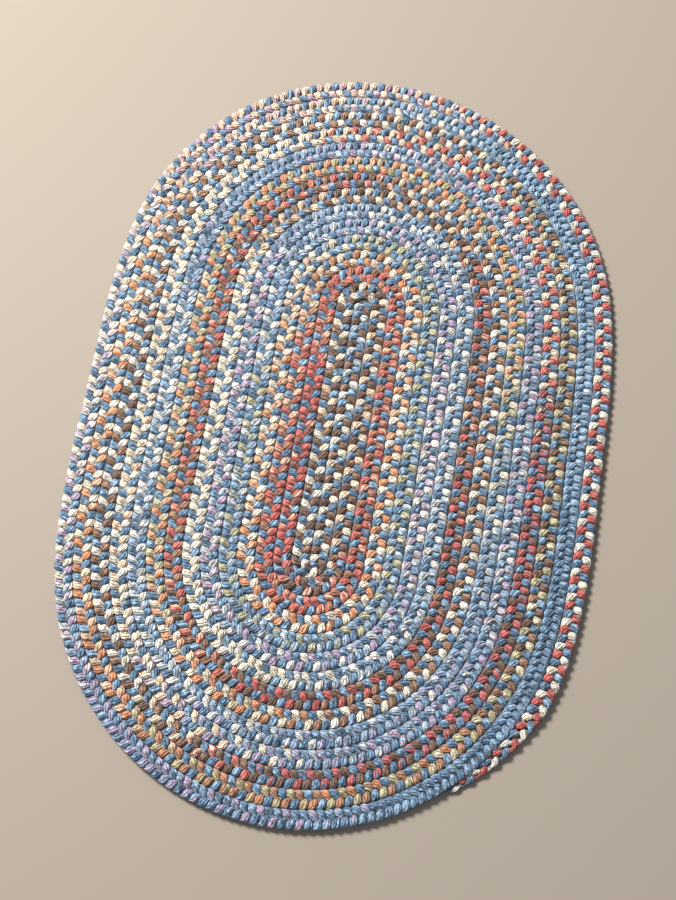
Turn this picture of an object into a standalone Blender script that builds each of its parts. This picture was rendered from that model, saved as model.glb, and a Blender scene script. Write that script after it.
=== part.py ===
"""Oval braided rug: one three-strand braid, wound flat around itself and laced edge to edge.

Metres, +Z up. The rug lies on Z = 0, its long axis runs along Y, and the origin is the
centre of its outline on the underside. The braid starts at the far end of a straight core
row, runs down it, and then winds outwards, clockwise seen from above. Its free end thins
out against the row inside it.
"""
import math

import bmesh
import bpy

# Driving dimensions
ROW_WIDTH = 0.0210          # one braid, from groove to groove
CORE_LENGTH = 0.3158        # straight row in the middle, between the two turning points
THICKNESS = 0.0100          # from the floor to the crown of a row
OUTER_ROW = 14              # rows outside the core row on either side
TAPER_FROM = math.radians(22)   # where the last row starts to thin, along its near turn
TAPER_TO = math.radians(50)     # and where it ends

# Section of a row, as shares of the row's width and of the thickness
SHOULDER = 0.27             # half width of the flat crown
TOP_GROOVE = 0.62           # height of the groove's floor on the upper face
UNDER_GROOVE = 0.16         # height of the groove's roof on the under face
TIP_WIDTH = 0.14            # width left at the very end of the braid

# How the rug lies, a little out of true
SKEW = -0.024               # each end slides this much of its distance from the long axis
BOW = -0.0046               # the long axis bends this far sideways at the ends
PINCH = 0.0175              # the two ends draw in by this share of their width
PINCH_FROM = 4.0            # in row widths from the middle: where that begins,
PINCH_OVER = 6.0            # and over what length it builds up

# Steps of the loft
ARC_STEPS = 18              # in each half turn
SIDE_STEPS = 5              # along each straight side

for old in list(bpy.data.objects):
    bpy.data.objects.remove(old, do_unlink=True)

rug_parts = bpy.data.collections.new("braided_rug")
bpy.context.scene.collection.children.link(rug_parts)

half_core = CORE_LENGTH / 2


def smooth_step(value):
    """0 below 0, 1 above 1, and a smooth rise between them."""
    share = min(max(value, 0.0), 1.0)
    return share * share * (3.0 - 2.0 * share)


def laid(x, y):
    """Where a point of the true oval comes to lie: drawn in at the ends, bowed and skewed."""
    drawn_in = smooth_step((abs(y) / ROW_WIDTH - PINCH_FROM) / PINCH_OVER)
    half_length = half_core + OUTER_ROW * ROW_WIDTH
    laid_x = x * (1.0 - PINCH * drawn_in) + BOW * (y / half_length) ** 2
    return laid_x, y + SKEW * laid_x


def side_stations(x, y_from, y_to, outward):
    """Stations along a straight side: a point on the row's middle and its outward direction."""
    for step in range(SIDE_STEPS):
        y = y_from + (y_to - y_from) * step / SIDE_STEPS
        yield x, y, outward, 0.0


def turn_stations(centre_x, centre_y, radius, from_angle):
    """Stations of a half turn, clockwise from the given angle."""
    for step in range(ARC_STEPS):
        angle = from_angle - math.pi * step / ARC_STEPS
        outward = (math.cos(angle), math.sin(angle))
        yield centre_x + radius * outward[0], centre_y + radius * outward[1], *outward


def braid_stations():
    """The whole braid, from its start in the middle to its end: stations with the row's width.

    The near turns centre half a row to the left of the far ones, which is what carries the
    braid one row outwards in each full turn.
    """
    for row in range(OUTER_ROW + 1):
        for station in side_stations(row * ROW_WIDTH, half_core, -half_core, 1.0):
            yield *station, 1.0
        near_radius = (row + 0.5) * ROW_WIDTH
        for x, y, out_x, out_y in turn_stations(-ROW_WIDTH / 2, -half_core, near_radius, 0.0):
            turned = math.atan2(-out_y, out_x)
            width = 1.0
            if row == OUTER_ROW:
                thinned = (turned - TAPER_FROM) / (TAPER_TO - TAPER_FROM)
                width = 1.0 - (1.0 - TIP_WIDTH) * min(max(thinned, 0.0), 1.0)
            yield x, y, out_x, out_y, width
            if row == OUTER_ROW and turned >= TAPER_TO - 1e-6:
                return
        left_x = -(row + 1) * ROW_WIDTH
        for station in side_stations(left_x, -half_core, half_core, -1.0):
            yield *station, 1.0
        far_radius = (row + 1) * ROW_WIDTH
        for station in turn_stations(0.0, half_core, far_radius, math.pi):
            yield *station, 1.0


def row_section(width):
    """Points across a row, from the inner groove to the outer one: (offset, share of crown).

    The inner groove stays put where the row thins, so the row keeps touching the one inside.
    """
    inner = -0.5
    fullness = (width - TIP_WIDTH) / (1.0 - TIP_WIDTH)
    return (
        (inner, 0.0),
        (inner + width * (0.5 - SHOULDER), fullness),
        (inner + width * (0.5 + SHOULDER), fullness),
        (inner + width, 0.0),
    )


def braid_sheet():
    """The rug as an open sheet in plan, its rows sharing their grooves."""
    sheet = bmesh.new()
    crown = sheet.verts.layers.float.new("crown")

    def point(x, y, crown_share):
        vertex = sheet.verts.new((*laid(x, y), 0.0))
        vertex[crown] = crown_share
        return vertex

    previous = None
    for x, y, out_x, out_y, width in braid_stations():
        section = []
        for offset, crown_share in row_section(width):
            reach = offset * ROW_WIDTH
            section.append(point(x + out_x * reach, y + out_y * reach, crown_share))
        if previous:
            for near, far in zip(range(3), range(1, 4)):
                sheet.faces.new((previous[near], previous[far], section[far], section[near]))
        previous = section

    # The start of the braid is a rounded head that fills the first far turn.
    head_inner = []
    head_outer = []
    for step in range(ARC_STEPS + 1):
        angle = math.pi - math.pi * step / ARC_STEPS
        for ring, share, crown_share in ((head_inner, SHOULDER, 1.0), (head_outer, 0.5, 0.0)):
            radius = share * ROW_WIDTH
            ring.append(point(radius * math.cos(angle), half_core + radius * math.sin(angle), crown_share))
    for step in range(ARC_STEPS):
        sheet.faces.new((head_inner[step], head_outer[step], head_outer[step + 1], head_inner[step + 1]))
    sheet.faces.new(head_inner)

    bmesh.ops.remove_doubles(sheet, verts=sheet.verts, dist=1e-5)
    bmesh.ops.recalc_face_normals(sheet, faces=sheet.faces)
    return sheet, crown


def build_rug():
    """Close the sheet into one solid: crowned rows and grooves on both faces."""
    sheet, crown = braid_sheet()
    under_faces = list(sheet.faces)
    raised = bmesh.ops.extrude_face_region(sheet, geom=under_faces, use_keep_orig=True)
    upper = {item for item in raised["geom"] if isinstance(item, bmesh.types.BMVert)}
    for vertex in sheet.verts:
        if vertex in upper:
            share = TOP_GROOVE + (1.0 - TOP_GROOVE) * vertex[crown]
        else:
            share = UNDER_GROOVE * (1.0 - vertex[crown])
        vertex.co.z = share * THICKNESS

    # The origin goes to the middle of the outline.
    middle = []
    for axis in (0, 1):
        places = [vertex.co[axis] for vertex in sheet.verts]
        middle.append((min(places) + max(places)) / 2)
    bmesh.ops.translate(sheet, verts=sheet.verts, vec=(-middle[0], -middle[1], 0.0))
    bmesh.ops.recalc_face_normals(sheet, faces=sheet.faces)

    mesh = bpy.data.meshes.new("braided_rug")
    sheet.to_mesh(mesh)
    sheet.free()
    mesh.shade_smooth()
    mesh.set_sharp_from_angle(angle=math.radians(60))
    rug = bpy.data.objects.new("braided_rug", mesh)
    rug_parts.objects.link(rug)
    return rug


def braid_yarn():
    """Wool-blend yarn, mid blue with warm flecks seen from afar."""
    material = bpy.data.materials.new("braid_yarn")
    material.use_nodes = True
    shader = material.node_tree.nodes["Principled BSDF"]
    shader.inputs["Base Color"].default_value = (0.36, 0.32, 0.33, 1.0)
    shader.inputs["Roughness"].default_value = 0.95
    shader.inputs["Metallic"].default_value = 0.0
    return material


build_rug().data.materials.append(braid_yarn())
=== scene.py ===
"""Oval braided rug: three heathered strands plaited into one flat braid, wound around itself.

Metres, +Z up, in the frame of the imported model. The rug lies on Z = 0.
"""
import math

import bpy
import numpy as np
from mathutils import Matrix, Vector


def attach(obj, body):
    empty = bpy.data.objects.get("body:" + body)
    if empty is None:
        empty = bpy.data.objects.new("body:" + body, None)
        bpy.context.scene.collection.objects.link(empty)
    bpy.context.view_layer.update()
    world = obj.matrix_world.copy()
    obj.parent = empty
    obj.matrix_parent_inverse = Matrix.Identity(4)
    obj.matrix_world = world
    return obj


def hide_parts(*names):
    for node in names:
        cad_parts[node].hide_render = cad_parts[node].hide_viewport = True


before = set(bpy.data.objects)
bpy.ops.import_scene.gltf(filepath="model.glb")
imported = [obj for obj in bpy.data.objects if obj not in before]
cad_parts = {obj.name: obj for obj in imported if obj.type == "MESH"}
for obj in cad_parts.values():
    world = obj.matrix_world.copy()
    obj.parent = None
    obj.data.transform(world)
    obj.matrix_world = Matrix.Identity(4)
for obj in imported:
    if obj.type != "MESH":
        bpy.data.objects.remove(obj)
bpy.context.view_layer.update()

# ---------------------------------------------------------------------------------------
# The plaiting. One flat braid, 21 mm wide and 22.8 m long, starts at the far end of a short
# core row and is wound clockwise around it, fourteen rows to each side. Its free end is
# thinned and tucked against the row inside it. Lengths here are in widths of one row.
# ---------------------------------------------------------------------------------------
ROW = 0.0210
CORE = 0.3158 / ROW
LAST_ROW = 14
HALF_THICK = 0.010 / ROW / 2

# A repeat of the plait is 28.3 mm long at the start and eases evenly to 29.3 mm at the end.
FIRST_PICK = -0.90          # where in the plait the braid starts, in repeats
PACE = 0.7424               # repeats in one row width at the start,
PACE_EASE = 1.13e-5         # and half of how much fewer with each row width further on

THIN_FROM = math.radians(22)    # where along the last near turn the braid starts to thin,
THIN_TO = math.radians(50)      # and where it ends
THIN_END = 0.14                 # width left at the end
THIN_STRETCH = 0.11             # how much longer the last repeats are pulled
HEAD = 0.45                     # how far the braid's start reaches back into the first far turn

# How the rug lies, a little out of true
SKEW = 0.024                    # the right side slides back by this share of how far out it is
BOW = 0.219                     # the long axis bends this far to the left at its ends
PINCH = 0.0175                  # the ends draw in by this share of their width,
PINCH_FROM = 4.0                # from this far out from the middle
PINCH_OVER = 6.0                # and over this length


def smooth_step(value):
    """0 below 0, 1 above 1, and a smooth rise between them."""
    share = np.clip(value, 0.0, 1.0)
    return share * share * (3.0 - 2.0 * share)


def braid_line(travel):
    """The braid's middle after some row widths of it: place, and unit vector away from the core."""
    place = np.zeros((len(travel), 2))
    outward = np.zeros((len(travel), 2))
    waiting = np.ones(len(travel), bool)
    begun = 0.0
    for row in range(LAST_ROW + 1):
        near, far = row + 0.5, row + 1.0
        legs = (("down", CORE), ("near", math.pi * near), ("up", CORE), ("far", math.pi * far))
        for leg, length in legs:
            last = row == LAST_ROW and leg == "near"
            here = waiting & ((travel < begun + length) | last)
            gone = travel[here] - begun
            if leg == "down":
                outward[here] = (1.0, 0.0)
                place[here] = np.stack([np.full(len(gone), float(row)), CORE / 2 - gone], 1)
            if leg == "near":
                turned = gone / near
                outward[here] = np.stack([np.cos(turned), -np.sin(turned)], 1)
                place[here] = (-0.5, -CORE / 2) + near * outward[here]
            if leg == "up":
                outward[here] = (-1.0, 0.0)
                place[here] = np.stack([np.full(len(gone), -far), gone - CORE / 2], 1)
            if leg == "far":
                turned = gone / far
                outward[here] = np.stack([-np.cos(turned), np.sin(turned)], 1)
                place[here] = (0.0, CORE / 2) + far * outward[here]
            waiting &= ~here
            if last:
                return place, outward, begun
            begun += length


def laid(place):
    """How the rug lies, a little out of true: drawn in at the ends, bowed and skewed."""
    x, y = place[:, 0], place[:, 1]
    drawn_in = smooth_step((np.abs(y) - PINCH_FROM) / PINCH_OVER)
    x = x * (1.0 - PINCH * drawn_in) - BOW * (y / (CORE / 2 + LAST_ROW)) ** 2
    return np.stack([x, y - SKEW * x], 1)


last_turn = braid_line(np.zeros(1))[2]
thin_start = last_turn + THIN_FROM * (LAST_ROW + 0.5)
braid_length = last_turn + THIN_TO * (LAST_ROW + 0.5)

# The middle of the outline is the origin.
OUTER_ROUNDS = 60.0 * math.pi   # enough of the braid to go right round the rug
RIM_STEPS = 4000
rim_travel = np.linspace(last_turn - OUTER_ROUNDS, thin_start, RIM_STEPS)
rim_place, rim_out, _ = braid_line(rim_travel)
rim = laid(rim_place + 0.5 * rim_out)
middle = (rim.min(0) + rim.max(0)) / 2


def picks_at(travel):
    """How many repeats are plaited by some row widths along the braid."""
    return FIRST_PICK + PACE * travel - PACE_EASE * travel ** 2


def travel_at(picks):
    """The other way round: how far along the braid some number of repeats reaches."""
    made = FIRST_PICK - picks
    travel = (PACE - np.sqrt(PACE ** 2 + 4 * PACE_EASE * made)) / (2 * PACE_EASE)
    past = np.maximum(travel - thin_start, 0.0)
    return travel + THIN_STRETCH * past ** 2


# ---------------------------------------------------------------------------------------
# The three strands: soft rolls of heathered yarn, one plain denim blue, two space-dyed in runs
# of colour. Each rises over one neighbour and dives under the next. A strand is one closed
# tube, rings of a soft oval section swept along the plait.
# ---------------------------------------------------------------------------------------
# One half of a repeat, ring by ring: the share of the half gone by, then in row widths how far to
# the side of the braid's middle, how far above its middle, and half the width and height of the
# roll there. The other half is the same on the other side.
HALF_REPEAT = np.array((
    (0.000, 0.000, 0.000, 0.112, 0.080),        # comes up between its neighbours
    (0.175, 0.192, 0.078, 0.208, 0.136),        # lies over the next strand, a plump crown
    (0.250, 0.266, 0.090, 0.236, 0.148),
    (0.330, 0.340, 0.076, 0.206, 0.138),
    (0.500, 0.416, -0.010, 0.096, 0.115),        # folds round the braid's edge
    (0.665, 0.335, -0.084, 0.195, 0.148),       # and goes back underneath
    (0.840, 0.185, -0.088, 0.190, 0.148),
))
RINGS = 2 * len(HALF_REPEAT)
CROWN = 0.125               # the middle of a crown, in repeats
SIDES = 8                   # around a strand
SHOULDER = 0.68             # 1 is a true oval, less is squarer
FLAT_HEAD = 0.35            # how much of its size the braid has at its very start,
HEAD_OVER = 0.5             # and the length over which it fills out
SLACK_ENDS = 0.4            # how slowly the rolls get thinner as the braid thins
WANDER = 0.010              # unevenness of a strand's path, in row widths,
WIDE_UNEVEN = 0.06          # and of its width
TALL_UNEVEN = 0.03          # and height, as shares
LIFT_OFF = 0.004            # the rolls clear the floor by this much
CLIMB = 0.7                 # how far a section leans with the strand's rise
HANDS = np.random.RandomState(11)
BAKE_ROWS = 36              # the tube is folded into so many strips on its own map,
STRIP_MARGIN = 0.05         # each with this much left free at its edges
CAP_CORNERS = ((0.990, 0.990), (0.999, 0.990), (0.990, 0.999))   # where the end caps go on it

DYES = {
    "denim": (0.096, 0.182, 0.302),
    "denim light": (0.250, 0.400, 0.560),
    "brown": (0.150, 0.088, 0.065),
    "tan": (0.370, 0.195, 0.120),
    "red": (0.530, 0.112, 0.102),
    "orange": (0.670, 0.265, 0.125),
    "peach": (0.790, 0.500, 0.350),
    "cream": (0.820, 0.720, 0.560),
    "white": (0.800, 0.760, 0.700),
    "sage": (0.440, 0.410, 0.250),
    "light blue": (0.240, 0.355, 0.505),
    "lilac": (0.400, 0.300, 0.440),
}

# Where along the braid each colour starts, the colour, what is spun in with it, and how much.
BLUE_STRAND = (
    (-9, "denim", "denim light", 0.33),
)
FIRST_DYED_STRAND = (
    (-9, "brown", "tan", 0.20),
    (54, "red", "brown", 0.55),
    (68, "tan", "red", 0.25),
    (84, "tan", "red", 0.40),
    (96, "tan", "red", 0.45),
    (112, "tan", "peach", 0.40),
    (118, "orange", "peach", 0.50),
    (130, "orange", "peach", 0.30),
    (153, "peach", "orange", 0.45),
    (166, "light blue", "sage", 0.40),
    (178, "light blue", "white", 0.15),
    (205, "light blue", "white", 0.30),
    (228, "lilac", "light blue", 0.45),
    (238, "lilac", "white", 0.25),
    (252, "lilac", "light blue", 0.20),
    (264, "lilac", "white", 0.25),
    (287, "light blue", "lilac", 0.45),
    (292, "white", "light blue", 0.10),
    (319, "white", "light blue", 0.45),
    (328, "cream", "white", 0.40),
    (357, "brown", "tan", 0.10),
    (372, "brown", "tan", 0.25),
    (411, "tan", "brown", 0.20),
    (431, "brown", "tan", 0.40),
    (442, "tan", "brown", 0.20),
    (484, "orange", "peach", 0.45),
    (516, "orange", "peach", 0.30),
    (541, "cream", "light blue", 0.50),
    (551, "light blue", "lilac", 0.30),
    (574, "light blue", "white", 0.20),
    (586, "light blue", "white", 0.45),
    (598, "light blue", "lilac", 0.35),
    (610, "lilac", "white", 0.35),
    (648, "lilac", "light blue", 0.40),
    (671, "cream", "white", 0.50),
    (706, "cream", "peach", 0.35),
    (732, "brown", "red", 0.40),
    (744, "brown", "tan", 0.15),
    (765, "brown", "tan", 0.35),
    (790, "tan", "brown", 0.20),
    (818, "brown", "tan", 0.45),
    (851, "tan", "orange", 0.40),
    (872, "orange", "tan", 0.25),
    (887, "orange", "peach", 0.40),
    (905, "peach", "lilac", 0.35),
    (920, "light blue", "denim light", 0.60),
    (952, "light blue", "denim", 0.45),
    (976, "lilac", "light blue", 0.45),
    (990, "lilac", "white", 0.30),
    (1005, "lilac", "white", 0.60),
    (1021, "lilac", "peach", 0.40),
    (1041, "white", "cream", 0.50),
)
SECOND_DYED_STRAND = (
    (-9, "white", "light blue", 0.50),
    (8, "cream", "white", 0.40),
    (24, "cream", "peach", 0.45),
    (51, "red", "peach", 0.20),
    (104, "peach", "red", 0.40),
    (116, "cream", "white", 0.40),
    (160, "cream", "tan", 0.30),
    (169, "sage", "white", 0.20),
    (192, "sage", "light blue", 0.30),
    (216, "white", "light blue", 0.50),
    (236, "white", "lilac", 0.20),
    (250, "white", "light blue", 0.45),
    (287, "light blue", "white", 0.20),
    (328, "cream", "white", 0.35),
    (356, "peach", "cream", 0.40),
    (372, "red", "peach", 0.50),
    (384, "red", "brown", 0.15),
    (405, "red", "peach", 0.25),
    (442, "cream", "white", 0.60),
    (481, "cream", "sage", 0.30),
    (493, "sage", "cream", 0.40),
    (514, "sage", "peach", 0.20),
    (546, "light blue", "white", 0.40),
    (568, "white", "light blue", 0.20),
    (598, "light blue", "white", 0.25),
    (661, "cream", "peach", 0.35),
    (690, "cream", "peach", 0.35),
    (708, "red", "peach", 0.10),
    (731, "red", "denim", 0.30),
    (766, "cream", "white", 0.60),
    (822, "sage", "cream", 0.30),
    (861, "sage", "tan", 0.40),
    (875, "peach", "sage", 0.40),
    (884, "cream", "white", 0.30),
    (903, "cream", "lilac", 0.25),
    (927, "light blue", "white", 0.15),
    (950, "light blue", "denim", 0.40),
    (982, "light blue", "lilac", 0.45),
    (995, "cream", "white", 0.40),
    (1019, "peach", "cream", 0.50),
    (1042, "red", "brown", 0.08),
)
CHANGE = 3.5                # row widths on each side over which one colour gives way


def dyed(runs, travel):
    """What a strand is dyed along the braid: its colour, the colour spun in, and how much."""
    ground = np.zeros((len(travel), 4))
    fleck = np.zeros((len(travel), 4))
    share = np.zeros(len(travel))
    for start, colour, spun_in, part in runs:
        on = travel >= start
        ground[on] = (*DYES[colour], 1.0)
        fleck[on] = (*DYES[spun_in], 1.0)
        share[on] = part
    for before, after in zip(runs, runs[1:]):
        if before[1] == after[1]:
            continue
        near = np.abs(travel - after[0]) < CHANGE
        ground[near] = (*DYES[before[1]], 1.0)
        fleck[near] = (*DYES[after[1]], 1.0)
        share[near] = (travel[near] - after[0] + CHANGE) / (2 * CHANGE)
    return ground, fleck, share


def pressed(share):
    """Rounder than an oval at the shoulders, as soft rolls are where they press together."""
    return math.copysign(abs(share) ** SHOULDER, share)


def uneven(count, step):
    """A slow, smooth unevenness of about -1 to 1, as hands leave it."""
    knots = HANDS.normal(0.0, 0.6, count // step + 3)
    return np.interp(np.arange(count) / step, np.arange(len(knots)), knots)


def strand_mesh(name, order, runs):
    """One strand as a closed tube, with its length and its dye written on it."""
    tail_run = braid_length - thin_start
    tail_pull = (math.sqrt(1 + 4 * THIN_STRETCH * tail_run) - 1) / (2 * THIN_STRETCH)
    ends = picks_at(np.array((-HEAD, thin_start + tail_pull))) - order / 3
    ring_of = np.arange(math.ceil(ends[0] * RINGS), math.floor(ends[1] * RINGS) + 1)
    count = len(ring_of)
    halves, ring_in_half = np.divmod(ring_of, len(HALF_REPEAT))
    gone_by, aside, rise, wide, tall = HALF_REPEAT[ring_in_half].T
    travel = travel_at((halves + gone_by) / 2 - CROWN + order / 3)

    place, outward, _ = braid_line(travel)
    turned = (travel - last_turn) / (LAST_ROW + 0.5)
    thinned = np.clip((turned - THIN_FROM) / (THIN_TO - THIN_FROM), 0.0, 1.0)
    full = 1.0 - (1.0 - THIN_END) * thinned
    head = FLAT_HEAD + (1.0 - FLAT_HEAD) * smooth_step((travel + HEAD) / HEAD_OVER)
    bulk = full ** SLACK_ENDS * head

    side_of = np.where(halves % 2, -1.0, 1.0)
    offset = -0.5 + full / 2 + full * head * (aside * side_of + WANDER * uneven(count, 5))
    wide = bulk * wide * (1.0 + WIDE_UNEVEN * uneven(count, 4))
    tall = bulk * tall * (1.0 + TALL_UNEVEN * uneven(count, 4))
    height = np.maximum(HALF_THICK * bulk + bulk * rise, tall + LIFT_OFF)

    flat = (laid(place + outward * offset[:, None]) - middle) * ROW
    centre = np.column_stack([flat, height * ROW])
    outward = np.column_stack([outward, np.zeros(count)])
    along = np.column_stack([outward[:, 1], -outward[:, 0], np.zeros(count)])
    upward = np.array((0.0, 0.0, 1.0))
    heading = np.gradient(centre, axis=0)
    stride = np.linalg.norm(heading, axis=1)
    heading /= stride[:, None]
    veer = np.arctan2((heading * outward).sum(1), (heading * along).sum(1))
    climb = CLIMB * np.arcsin(heading[:, 2])
    sideways = np.cos(veer)[:, None] * outward - np.sin(veer)[:, None] * along
    forward = np.cos(veer)[:, None] * along + np.sin(veer)[:, None] * outward
    over = np.cos(climb)[:, None] * upward - np.sin(climb)[:, None] * forward

    points = []
    for side in range(SIDES):
        angle = 2 * math.pi * side / SIDES - math.pi / 2
        across = (wide * pressed(math.cos(angle)) * ROW)[:, None] * sideways
        upright = (tall * pressed(math.sin(angle)) * ROW)[:, None] * over
        points.append(centre + across + upright)
    rings = np.stack(points, 1)
    rings[:, :, 2] = np.maximum(rings[:, :, 2], 0.0)
    vertices = np.concatenate([rings.reshape(-1, 3), centre[:1], centre[-1:]])
    tail_tip = len(vertices) - 1

    ring, side = np.meshgrid(np.arange(count - 1), np.arange(SIDES), indexing="ij")
    ring, side = ring.ravel(), side.ravel()
    next_side = (side + 1) % SIDES
    quads = np.stack([
        ring * SIDES + side,
        ring * SIDES + next_side,
        (ring + 1) * SIDES + next_side,
        (ring + 1) * SIDES + side,
    ], 1)
    begin = [(tail_tip - 1, (at + 1) % SIDES, at) for at in range(SIDES)]
    base = (count - 1) * SIDES
    end = [(tail_tip, base + at, base + (at + 1) % SIDES) for at in range(SIDES)]
    mesh = bpy.data.meshes.new(name)
    mesh.from_pydata(vertices.tolist(), [], quads.tolist() + begin + end)
    mesh.shade_smooth()

    # Around the strand from 0 to 1, and metres along it.
    run = np.concatenate([[0.0], np.cumsum((stride[1:] + stride[:-1]) / 2)])
    corner_side = np.stack([side, side + 1, side + 1, side], 1) / SIDES
    corner_run = np.stack([run[ring], run[ring], run[ring + 1], run[ring + 1]], 1)
    cap_lay = np.zeros((2 * SIDES * 3, 2))
    cap_lay[SIDES * 3:, 1] = run[-1]
    lay = np.stack([corner_side.ravel(), corner_run.ravel()], 1)
    lay_map = mesh.uv_layers.new(name="yarn lay")
    lay_map.uv.foreach_set("vector", np.concatenate([lay, cap_lay]).astype(np.float32).ravel())

    # The same tube folded into strips, side by side.
    strip_rings = math.ceil(count / BAKE_ROWS)
    strip, at = ring // strip_rings, ring % strip_rings
    strip_along = np.stack([at, at, at + 1, at + 1], 1) / strip_rings
    strip_up = (strip[:, None] + STRIP_MARGIN + (1.0 - 2 * STRIP_MARGIN) * corner_side) / BAKE_ROWS
    folded = np.stack([strip_along.ravel(), strip_up.ravel()], 1)
    cap_at = np.tile(CAP_CORNERS, (2 * SIDES, 1))
    strip_map = mesh.uv_layers.new(name="OFBake")
    strip_map.uv.foreach_set("vector", np.concatenate([folded, cap_at]).astype(np.float32).ravel())
    mesh.uv_layers.active = lay_map

    ground, fleck, share = dyed(runs, travel)
    order_of = np.concatenate([np.repeat(np.arange(count), SIDES), [0, count - 1]])
    for label, values in (("ground", ground), ("fleck", fleck)):
        layer = mesh.attributes.new(label, "FLOAT_COLOR", "POINT")
        layer.data.foreach_set("color", values[order_of].astype(np.float32).ravel())
    layer = mesh.attributes.new("spun in", "FLOAT", "POINT")
    layer.data.foreach_set("value", share[order_of].astype(np.float32))

    strand = bpy.data.objects.new(name, mesh)
    bpy.context.scene.collection.objects.link(strand)
    return strand


class Wire:
    """One output of a node. Arithmetic on it adds Math nodes."""

    def __init__(self, finish, socket):
        self.finish = finish
        self.socket = socket

    def math(self, operation, first, second):
        return self.finish.node("ShaderNodeMath", {"operation": operation}, {0: first, 1: second})

    def __add__(self, other):
        return self.math("ADD", self, other)

    def __sub__(self, other):
        return self.math("SUBTRACT", self, other)

    def __rsub__(self, other):
        return self.math("SUBTRACT", other, self)

    def __mul__(self, other):
        return self.math("MULTIPLY", self, other)

    __radd__ = __add__
    __rmul__ = __mul__


class Finish:
    """A material and one way of adding nodes to it."""

    def __init__(self, name):
        self.material = bpy.data.materials.new(name)
        self.material.use_nodes = True
        self.tree = self.material.node_tree
        self.shader = self.tree.nodes["Principled BSDF"]

    def put(self, socket, value):
        if isinstance(value, Wire):
            self.tree.links.new(value.socket, socket)
        else:
            socket.default_value = value

    def node(self, kind, settings, sockets, output=0):
        made = self.tree.nodes.new(kind)
        for name, value in settings.items():
            setattr(made, name, value)
        for name, value in sockets.items():
            self.put(made.inputs[name], value)
        return Wire(self, made.outputs[output])

    def set(self, **sockets):
        for name, value in sockets.items():
            self.put(self.shader.inputs[name.replace("_", " ")], value)


YARNS = 8                   # spun yarns around a strand
YARN_TWIST = 90.0           # yarns passed in one metre, from the slight roll of the strand
PLY = 900.0                 # ridges and hollows of the twisted plies in one metre of yarn
SPUN_RATE = 38.0            # rates of the noises, each in one metre: spun-in patches of colour,
STREAK_RATE = 190.0         # paler and darker streaks,
FIBRE_RATE = 420.0          # and fibres
FIBRES_ACROSS = 3.4         # the fibres' rate across one yarn
FIBRE_SHADE = 1.6           # how much the fibres change the colour,
PAINTED_VALLEY_SHADE = 0.42         # and how much the colour is darkened between two yarns, painted shade
EDGE = 0.08                 # softness of the edge of a spun-in patch
YARN_RELIEF = 0.0017        # depth of the relief, in metres


def yarn_finish(name, heather):
    """Soft matt spun yarn: round yarns side by side, each twisted of two plies and heathered, with
    shade painted into the colour between two yarns.
    """
    finish = Finish(name)
    lay = finish.node("ShaderNodeUVMap", {"uv_map": "yarn lay"}, {})
    parts = finish.tree.nodes.new("ShaderNodeSeparateXYZ")
    finish.put(parts.inputs[0], lay)
    around, run = Wire(finish, parts.outputs[0]), Wire(finish, parts.outputs[1])
    across = around * YARNS + run * YARN_TWIST
    yarn = finish.node("ShaderNodeMath", {"operation": "FLOOR"}, {0: across})
    within = across - yarn
    round_yarn = finish.node("ShaderNodeMath", {"operation": "SINE"}, {0: within * math.pi})

    def spots(along_rate, apart, detail):
        """Noise drawn out along each yarn, its own on every yarn, spread over 0 to 1."""
        at = finish.node("ShaderNodeCombineXYZ", {}, {0: yarn * apart, 1: run * along_rate})
        found = finish.node(
            "ShaderNodeTexNoise", {"noise_dimensions": "2D"},
            {"Vector": at, "Scale": 1.0, "Detail": detail, "Roughness": 0.6},
        )
        return finish.node(
            "ShaderNodeMapRange", {"interpolation_type": "LINEAR"},
            {"Value": found, "From Min": 0.32, "From Max": 0.68},
        )

    # Which of the two colours a yarn shows here.
    chosen = spots(SPUN_RATE, 7.31, 1.0)
    ground = finish.node("ShaderNodeAttribute", {"attribute_name": "ground"}, {})
    fleck = finish.node("ShaderNodeAttribute", {"attribute_name": "fleck"}, {})
    share = finish.node("ShaderNodeAttribute", {"attribute_name": "spun in"}, {}, 2)
    edge = finish.node(
        "ShaderNodeMapRange", {"interpolation_type": "SMOOTHSTEP"},
        {
            "Value": share * (1.0 + 2 * EDGE) - EDGE - chosen, "From Min": -EDGE, "From Max": EDGE,
            "To Min": 0.08, "To Max": 0.92,
        },
    )
    spun = finish.node(
        "ShaderNodeMix", {"data_type": "RGBA"}, {0: edge, 6: ground, 7: fleck}, 2,
    )

    # Heather: paler and darker fibres, drawn out along the yarn.
    streaks = spots(STREAK_RATE, 3.7, 3.0)
    fibre_at = finish.node("ShaderNodeCombineXYZ", {}, {0: across * FIBRES_ACROSS, 1: run * FIBRE_RATE})
    fibres = finish.node(
        "ShaderNodeTexNoise", {"noise_dimensions": "2D"},
        {"Vector": fibre_at, "Scale": 1.0, "Detail": 3.0, "Roughness": 0.65},
    )
    shade = 1.0 + heather * (streaks - 0.5) + FIBRE_SHADE * (fibres - 0.5)
    # Painted shade: the colour is darkened in the valley between two yarns.
    shade = shade - PAINTED_VALLEY_SHADE * (1.0 - round_yarn)
    coloured = finish.node("ShaderNodeHueSaturation", {}, {"Value": shade, "Color": spun})

    # Relief: the round of each yarn, its ply twist, and loose fibres over it.
    ply = finish.node("ShaderNodeMath", {"operation": "SINE"}, {0: run * PLY * math.pi + within * 3.0})
    relief = round_yarn * 0.75 + ply * 0.10 * round_yarn + fibres * 0.55
    bump = finish.node(
        "ShaderNodeBump", {}, {"Strength": 1.0, "Distance": YARN_RELIEF, "Height": relief},
    )
    finish.set(
        Base_Color=coloured, Normal=bump, Roughness=0.92, Specular_IOR_Level=0.22,
        Sheen_Weight=0.25, Sheen_Roughness=0.55, Sheen_Tint=(0.95, 0.93, 0.90, 1.0),
    )
    return finish.material


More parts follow.
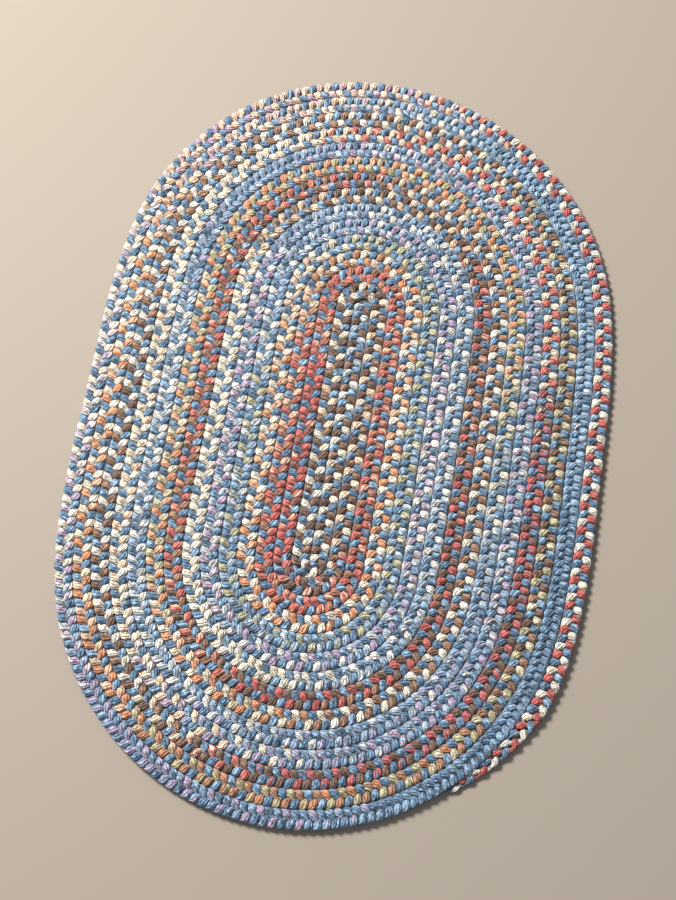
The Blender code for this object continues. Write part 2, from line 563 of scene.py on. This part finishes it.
plain_yarn = yarn_finish("plain heathered yarn", 1.25)
dyed_yarn = yarn_finish("space-dyed heathered yarn", 0.95)
for strand_name, strand_order, strand_runs, strand_yarn in (
    ("blue_strand", 0, BLUE_STRAND, plain_yarn),
    ("first_dyed_strand", 1, FIRST_DYED_STRAND, dyed_yarn),
    ("second_dyed_strand", 2, SECOND_DYED_STRAND, dyed_yarn),
):
    strand = strand_mesh(strand_name, strand_order, strand_runs)
    strand.data.materials.append(strand_yarn)
    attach(strand, "root")
    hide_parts("braided_rug")

# ---------------------------------------------------------------------------------------
# The lacing. Stout thread drawn through the edges of neighbouring rows pulls them together,
# and with the hearts of the strands makes a closed web at mid thickness. It is sewn flat on a
# table as the braid is wound. Its near-black colour is painted shade: it shows only at the bottom of a
# groove.
# ---------------------------------------------------------------------------------------
WEB_THICK = 0.0016
WEB_FROM = 90.4             # the web's edge follows the braid from this long before the last
WEB_STEPS = 260             # turn, and is closed by a straight cut across the near end
WEB_INSIDE = 0.1            # it ends this far inside the middle of the last row
web_travel = np.linspace(last_turn - WEB_FROM, thin_start, WEB_STEPS)
web_place, web_out, _ = braid_line(web_travel)
web_edge = (laid(web_place - WEB_INSIDE * web_out) - middle) * ROW
web_mesh = bpy.data.meshes.new("lacing_web")
web_mesh.from_pydata(
    [(x, y, HALF_THICK * ROW - WEB_THICK / 2) for x, y in web_edge.tolist()],
    [], [list(range(len(web_edge)))[::-1]],
)
lacing_web = bpy.data.objects.new("lacing_web", web_mesh)
bpy.context.scene.collection.objects.link(lacing_web)
bpy.ops.object.select_all(action="DESELECT")
bpy.context.view_layer.objects.active = lacing_web
lacing_web.select_set(True)
wall = lacing_web.modifiers.new("thickness", "SOLIDIFY")
wall.thickness = WEB_THICK
wall.offset = -1.0
bpy.ops.object.modifier_apply(modifier=wall.name)

thread = Finish("lacing web painted groove shade")
on_web = thread.node("ShaderNodeTexCoord", {}, {}, 3)
lint = thread.node(
    "ShaderNodeTexNoise", {}, {"Vector": on_web, "Scale": 900.0, "Detail": 3.0, "Roughness": 0.6},
)
# Painted shade: the web's near-black colour stands in for the shade at the bottom of a groove.
painted_groove_shade = thread.node(
    "ShaderNodeMix", {"data_type": "RGBA"},
    {0: lint, 6: (0.04, 0.04, 0.05, 1.0), 7: (0.12, 0.11, 0.11, 1.0)}, 2,
)
thread_relief = thread.node(
    "ShaderNodeBump", {}, {"Strength": 0.6, "Distance": 0.0004, "Height": lint},
)
thread.set(Base_Color=painted_groove_shade, Normal=thread_relief, Roughness=0.95)
lacing_web.data.materials.append(thread.material)
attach(lacing_web, "root")
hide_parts("braided_rug")

# ---------------------------------------------------------------------------------------
# The room: a plain pale floor, a large soft window light from the far left, a weak fill all
# round, and the camera held at eye height, looking almost straight down.
# ---------------------------------------------------------------------------------------
bpy.ops.object.select_all(action="DESELECT")
bpy.ops.mesh.primitive_plane_add(size=12.0, location=(0.0, 0.0, 0.0))
floor = bpy.context.active_object
floor.name = "floor"
plaster = Finish("plain pale floor")
plaster.set(Base_Color=(0.28, 0.24, 0.20, 1.0), Roughness=0.8)
floor.data.materials.append(plaster.material)

window = bpy.data.lights.new("window", "AREA")
window.shape = "DISK"
window.size = 1.2
window.energy = 355.0
window.color = (1.0, 0.97, 0.92)
window_at = bpy.data.objects.new("window", window)
window_at.location = (-2.3, 1.65, 2.75)
to_rug = Vector((0.0, 0.0, 0.0)) - window_at.location
window_at.rotation_euler = to_rug.to_track_quat("-Z", "Y").to_euler()
bpy.context.scene.collection.objects.link(window_at)

sky = bpy.data.worlds.new("soft fill")
sky.use_nodes = True
sky.node_tree.nodes["Background"].inputs["Color"].default_value = (0.93, 0.96, 1.0, 1.0)
sky.node_tree.nodes["Background"].inputs["Strength"].default_value = 0.41
bpy.context.scene.world = sky
bpy.context.scene.view_settings.view_transform = "Standard"

lens = bpy.data.cameras.new("camera")
lens.lens = 53.40
lens.sensor_width = 36.0
camera = bpy.data.objects.new("camera", lens)
camera.location = (0.0736, -0.4742, 1.4874)
camera.rotation_euler = (math.radians(16.925), 0.0, math.radians(9.433))
bpy.context.scene.collection.objects.link(camera)
bpy.context.scene.camera = camera
